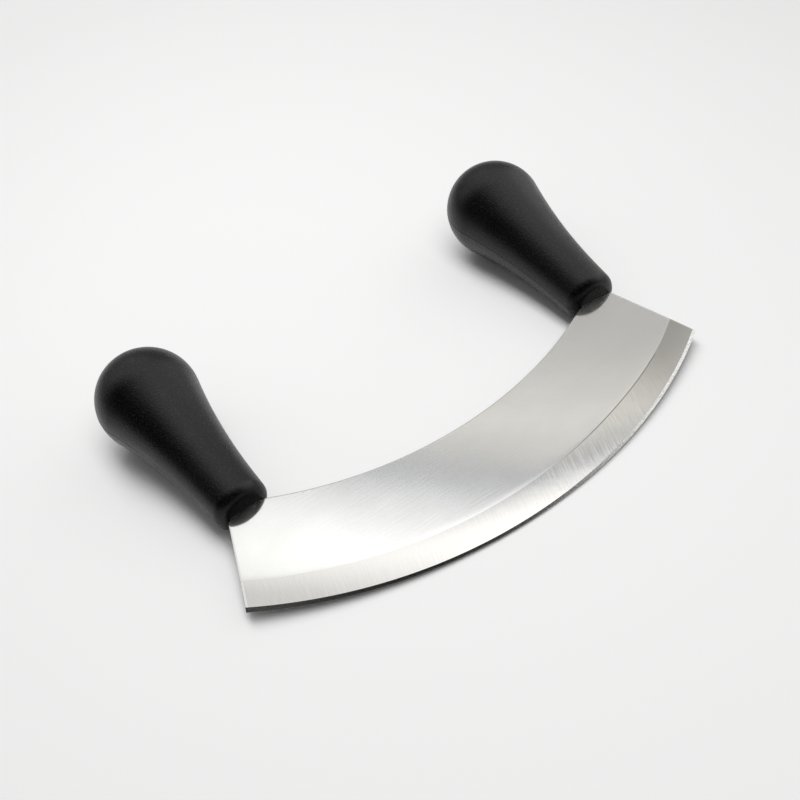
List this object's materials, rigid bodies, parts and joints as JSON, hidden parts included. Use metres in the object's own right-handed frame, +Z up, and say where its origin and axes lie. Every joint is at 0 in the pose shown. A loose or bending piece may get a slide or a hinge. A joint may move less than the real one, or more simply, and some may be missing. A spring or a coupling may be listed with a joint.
{
  "type": "mezzaluna chopping knife",
  "caption": "Mezzaluna with a curved, bevel-ground steel blade and a pear-shaped black plastic handle moulded onto the tang at each end, rocked to and fro to chop herbs or cut pizza.",
  "frame": {"origin": "on the table, under the middle of the knife's outer box", "axes": "+X along the blade from the left corner to the right, +Y from the edge towards the handles, +Z up from the table that the knife lies on"},
  "size_m": [0.207, 0.1514, 0.0404],
  "materials": {
    "blade_steel": "polished flat sides with fine scratches, wide bevel ground across the edge, coarser honed strip along the edge",
    "handle_plastic": "black moulded plastic with a fine spark-eroded grain and a faint mould line in the plane of the blade"
  },
  "bodies": {
    "root": {"blade": "blade_steel", "left_handle": "handle_plastic", "right_handle": "handle_plastic"}
  },
  "joints": []
}
